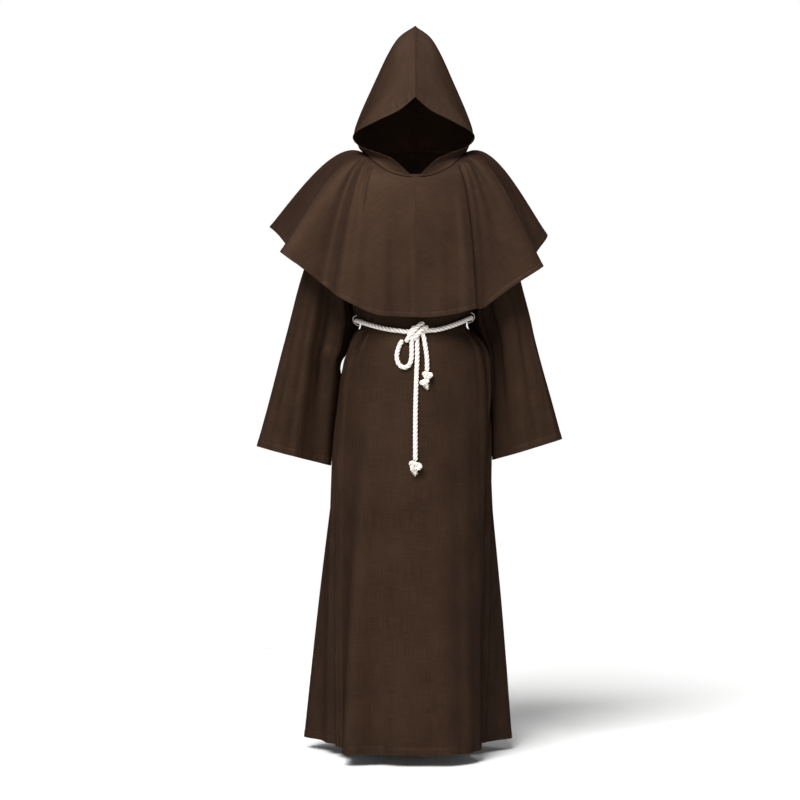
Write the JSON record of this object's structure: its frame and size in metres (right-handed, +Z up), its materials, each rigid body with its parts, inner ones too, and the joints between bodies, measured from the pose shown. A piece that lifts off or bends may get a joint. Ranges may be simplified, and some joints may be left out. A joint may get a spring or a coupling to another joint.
{
  "type": "monk robe",
  "caption": "Ankle-length brown robe with wide sleeves, a hooded shoulder cape and a knotted rope belt, in its hollow worn form",
  "frame": {"origin": "on the centre plane between the wearer's shoulders, at the foot of the neck, inside the neckline", "axes": "+Z up, the wearer faces -Y, +X is the wearer's left"},
  "size_m": [0.765, 0.4722, 1.7967],
  "materials": {
    "robe_cloth": "brown polyester gabardine, soft satin sheen",
    "cape_cloth": "brown polyester gabardine, soft satin sheen",
    "hood_cloth": "brown polyester gabardine, topstitched crown seam",
    "rope": "off-white three-strand twisted cotton",
    "thread": "off-white thread"
  },
  "bodies": {
    "root": {"robe_front": "robe_cloth", "robe_back": "robe_cloth", "sleeve_left": "robe_cloth", "sleeve_right": "robe_cloth", "cape_left": "cape_cloth", "cape_right": "cape_cloth", "hood_left": "hood_cloth", "hood_right": "hood_cloth", "belt_rope": "rope", "belt_loop": "rope", "belt_end_long": "rope", "belt_end_short": "rope", "belt_knot": "rope", "end_knot_long": "rope", "end_knot_short": "rope", "end_knot_short_tail": "rope", "belt_carrier_left": "thread", "belt_carrier_right": "thread"}
  },
  "joints": []
}
